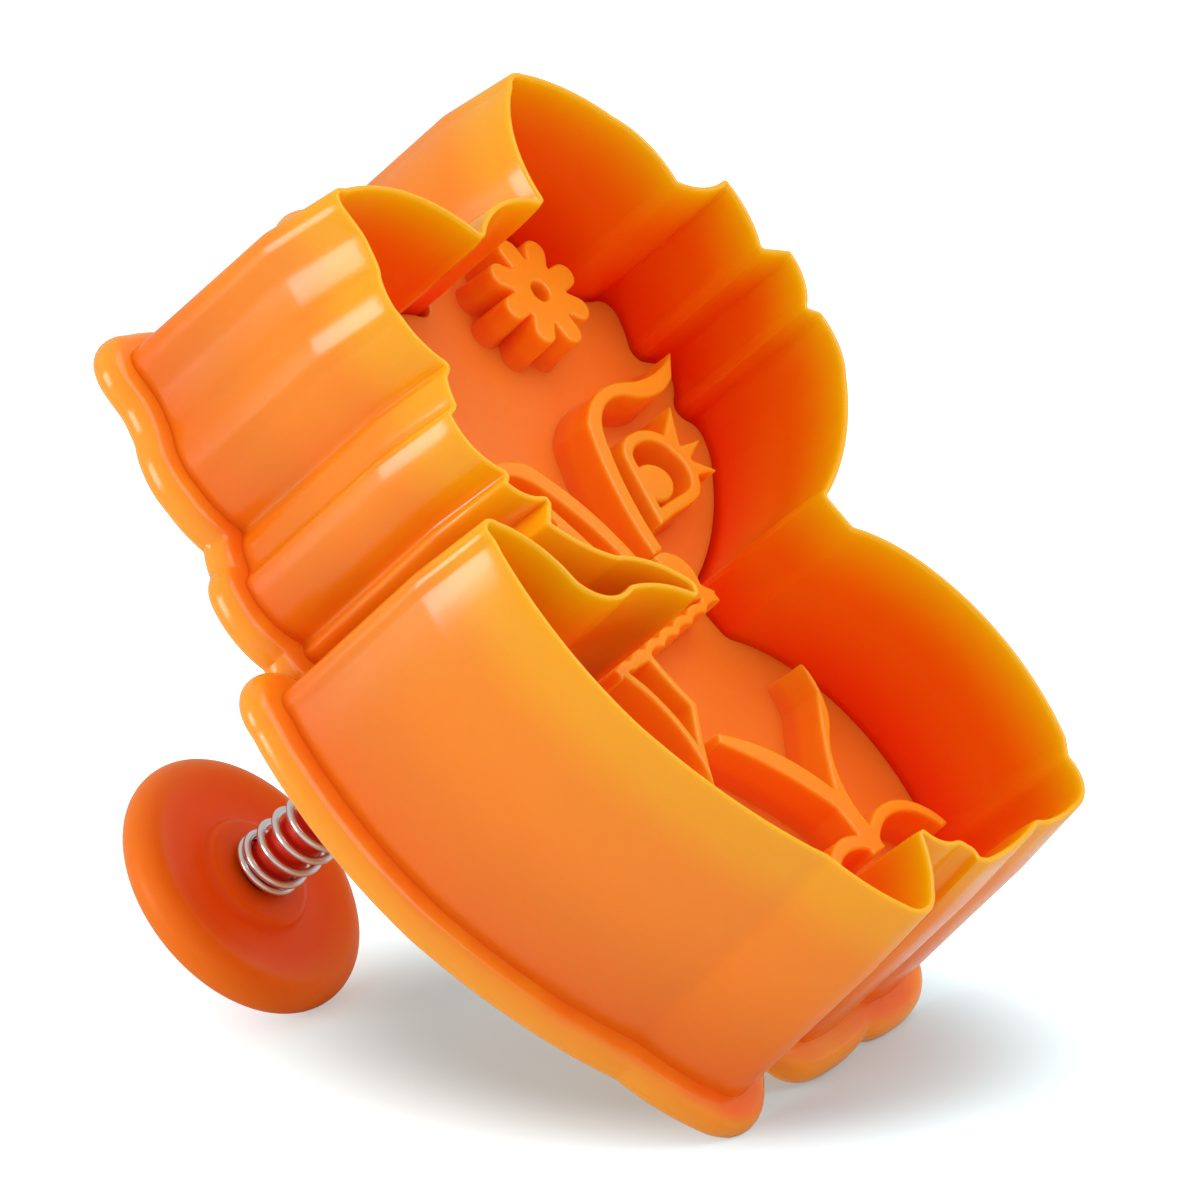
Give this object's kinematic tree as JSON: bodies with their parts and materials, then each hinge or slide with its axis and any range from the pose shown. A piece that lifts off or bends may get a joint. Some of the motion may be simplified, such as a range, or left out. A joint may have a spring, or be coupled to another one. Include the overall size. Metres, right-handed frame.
{
  "type": "plunger cutter",
  "caption": "Spring plunger cutter whose thin wall traces a sitting fox, with a raised stamp inside, a rounded flange round its foot, and a round push knob on a sprung stem behind.",
  "frame": {"origin": "in the plane of the cutting rim, under the middle of the flange's outline and 0.75 mm from the plunger's axis", "axes": "+Z from the cutting rim to the knob along the plunger's axis, +Y from the figure's feet to its ears, +X towards its tail"},
  "size_m": [0.0652, 0.0804, 0.0631],
  "materials": {
    "cutter_plastic": "semi-gloss moulded, slightly translucent",
    "stamp_plastic": "semi-gloss moulded, slightly translucent",
    "stem_plastic": "semi-gloss moulded",
    "spring_steel": "bright drawn wire",
    "knob_plastic": "semi-gloss moulded"
  },
  "bodies": {
    "cutter": {"cutter_body": "cutter_plastic", "return_spring": "spring_steel"},
    "plunger": {"stamp_plate": "stamp_plastic", "plunger_stem": "stem_plastic", "knob": "knob_plastic"}
  },
  "joints": [
    {"name": "plunger_slide", "type": "slide", "parent": "cutter", "child": "plunger", "axis": [0, 0, -1], "range_m": [0, 0.0155], "stiffness_N_per_m": 250, "springref_m": -0.01, "deforming": ["return_spring"]}
  ]
}
